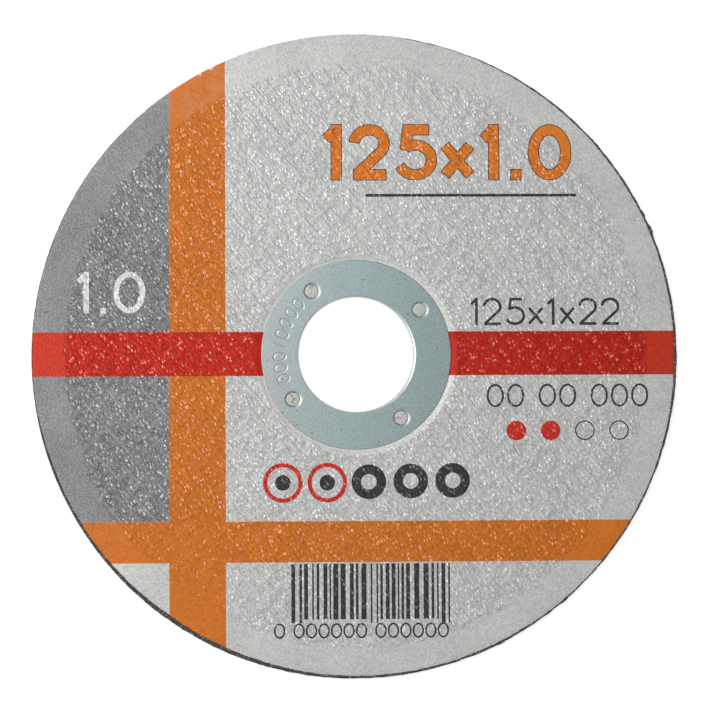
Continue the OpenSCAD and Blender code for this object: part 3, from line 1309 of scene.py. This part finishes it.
# rolled edges of the claw holes and of the bore, 1 at the hole
def rolledEdges(tree, place):
    flat = flatPlace(tree, place)
    bore = wheel["boreRadius"]
    holes = [(x, y, ring["clawRim"], ring["clawHole"]) for x, y in clawCentres()]
    holes.append((0.0, 0.0, bore + ring["boreRim"], bore))
    rolled = 0.0
    for x, y, rim, hole in holes:
        away = distanceTo(tree, flat, (x + ring["rimShift"], y, 0.0))
        rolled = calc(tree, "MAXIMUM", rolled, smoothStep(tree, away, rim, hole))
    return rolled


# stamped row of noughts with one stroke between them, 1 at the bottom of the stamp
def stampedRow(tree, place):
    stamp = ring["stamp"]
    x, y, _ = addNode(tree, "ShaderNodeSeparateXYZ", {0: place}).outputs
    turn = calc(tree, "ARCTAN2", y, times(tree, x, -1.0))
    middle = stamp["base"] + stamp["tall"] / 2
    pitch = (stamp["end"] - stamp["start"]) * middle / stamp["count"]
    along = times(tree, calc(tree, "SUBTRACT", turn, stamp["start"]), middle / pitch)
    across = calc(tree, "SUBTRACT", hypotenuse(tree, x, y), middle)
    inCell = times(tree, calc(tree, "SUBTRACT", calc(tree, "FRACT", along), 0.5), pitch)
    high = calc(tree, "DIVIDE", across, stamp["tall"] / 2 - 0.1)
    wide = calc(tree, "DIVIDE", inCell, stamp["halfWidth"])
    fromOval = calc(tree, "ABSOLUTE", calc(tree, "SUBTRACT", hypotenuse(tree, wide, high), 1.0))
    nought = smoothStep(tree, fromOval, 0.26, 0.06)
    lean = calc(tree, "ABSOLUTE", timesPlus(tree, across, -0.3, inCell))
    inStroke = smoothStep(tree, calc(tree, "ABSOLUTE", high), 1.1, 0.95)
    stroke = times(tree, smoothStep(tree, lean, 0.18, 0.04), inStroke)
    isStroke = calc(tree, "COMPARE", calc(tree, "FLOOR", along), float(stamp["slash"]), 0.1)
    mark = addNode(tree, "ShaderNodeMix", {0: isStroke, 2: nought, 3: stroke}).outputs[0]
    started = calc(tree, "GREATER_THAN", along, 0.0)
    return times(tree, mark, times(tree, started, calc(tree, "LESS_THAN", along, float(stamp["count"]))))


def makeSteel():
    material, tree, shader = newMaterial("platedSteel")
    place = millimetres(tree)
    x = dotWith(tree, place, (1, 0))
    edge = wheel["ringRadius"]
    lines = noiseAt(tree, stretched(tree, place, ring["brush"], 1.2, 4.6), 1.0, 3.0)
    tone = timesPlus(tree, lines, ring["brushTone"], 1 - (ring["brushTone"] + ring["grainTone"]) / 2)
    tone = timesPlus(tree, noiseAt(tree, place, 3.6), ring["grainTone"], tone)
    # painted light on the ring: brighter and more neutral on the left, darker on the right
    tone = times(tree, tone, mapRange(tree, x, *ring["plating"], -edge, edge))
    steel = mixColour(tree, smoothStep(tree, x, 0.0, -edge), ring["steel"], ring["paleSteel"])
    colour = mottled(tree, place, scaled(tree, steel, tone), 0.35, 0.08)
    away, pick = cellsAt(tree, place, 0.7)
    speck = times(tree, smoothStep(tree, away, 0.13, 0.06), smoothStep(tree, pick, 0.965, 0.98))
    colour = mixColour(tree, speck, colour, ring["speckShade"])
    rolled = rolledEdges(tree, place)
    bore = wheel["boreRadius"]
    boreEdge = smoothStep(tree, lengthOf(tree, place), bore + ring["boreRim"], bore + 0.14)
    # painted highlight on the rolled edges and the bore's edge
    bright = calc(tree, "MAXIMUM", smoothStep(tree, rolled, 0.45, 0.95), boreEdge)
    colour = mixColour(tree, times(tree, bright, ring["burnishedShare"]), colour, ring["burnished"])
    tree.links.new(colour, shader.inputs["Base Color"])
    shader.inputs["Metallic"].default_value = 1.0
    tree.links.new(mapRange(tree, lines, *ring["roughness"]), shader.inputs["Roughness"])
    height = times(tree, lines, ring["brushDepth"])
    height = timesPlus(tree, rolled, -ring["rimDepth"], height)
    height = timesPlus(tree, stampedRow(tree, place), -ring["stamp"]["depth"], height)
    addBump(tree, shader, height)
    return material


frame["nodes"]["centre_ring"].material_slots[0].material = makeSteel()
print("ring and meshes dressed")
